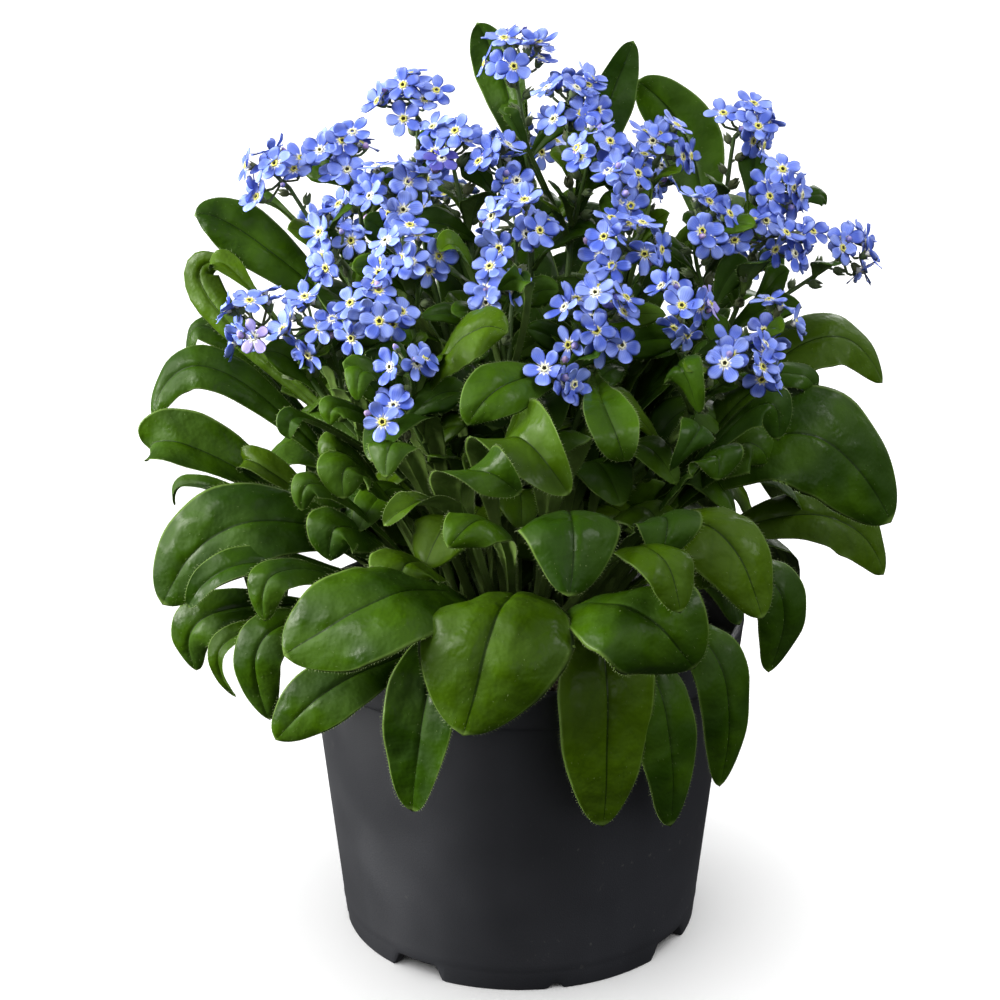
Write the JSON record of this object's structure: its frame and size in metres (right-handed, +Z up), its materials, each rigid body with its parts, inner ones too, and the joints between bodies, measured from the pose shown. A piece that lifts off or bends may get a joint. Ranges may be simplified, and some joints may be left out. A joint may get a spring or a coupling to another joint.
{
  "type": "potted myosotis",
  "caption": "Forget-me-not with blue flower bunches on leafy stems above a rosette of spoon-shaped leaves, growing in a round plastic nursery pot.",
  "frame": {"origin": "on the pot's axis, at the surface that the pot stands on", "axes": "+Z up along the pot's axis, -Y towards the front of the plant as pictured, +X to its right"},
  "size_m": [0.1969, 0.1838, 0.2399],
  "materials": {
    "pot": "matte anthracite moulded plastic",
    "soil": "crumbly dark brown potting soil",
    "basal_leaf": "green leaf with a soft gloss and fine hairs",
    "stem_leaf": "green stems and small leaves with fine hairs",
    "petal": "soft periwinkle blue petals"
  },
  "bodies": {
    "root": {"pot": "pot", "soil": "soil", "rosette": "basal_leaf", "leafy_stem_01": "stem_leaf", "leafy_stem_02": "stem_leaf", "leafy_stem_03": "stem_leaf", "leafy_stem_04": "stem_leaf", "leafy_stem_05": "stem_leaf", "leafy_stem_06": "stem_leaf", "leafy_stem_07": "stem_leaf", "leafy_stem_08": "stem_leaf", "leafy_stem_09": "stem_leaf", "leafy_stem_10": "stem_leaf", "leafy_stem_11": "stem_leaf", "leafy_stem_12": "stem_leaf", "leafy_stem_13": "stem_leaf", "leafy_stem_14": "stem_leaf", "leafy_stem_15": "stem_leaf", "leafy_stem_16": "stem_leaf", "leafy_stem_17": "stem_leaf", "flowers_01": "petal", "flowers_02": "petal", "flowers_03": "petal", "flowers_04": "petal", "flowers_05": "petal", "flowers_06": "petal", "flowers_07": "petal", "flowers_08": "petal", "flowers_09": "petal", "flowers_10": "petal", "flowers_11": "petal", "flowers_12": "petal", "flowers_13": "petal", "flowers_14": "petal", "flowers_15": "petal", "flowers_16": "petal", "flowers_17": "petal", "flowers_18": "petal", "flowers_19": "petal", "flowers_20": "petal", "flowers_21": "petal", "flowers_22": "petal", "flowers_23": "petal", "flowers_24": "petal", "flowers_25": "petal", "flowers_26": "petal", "flowers_27": "petal", "flowers_28": "petal", "flowers_29": "petal", "flowers_30": "petal", "flowers_31": "petal", "flowers_32": "petal", "flowers_33": "petal", "flowers_34": "petal", "flowers_35": "petal", "flowers_36": "petal", "flowers_37": "petal"}
  },
  "joints": []
}
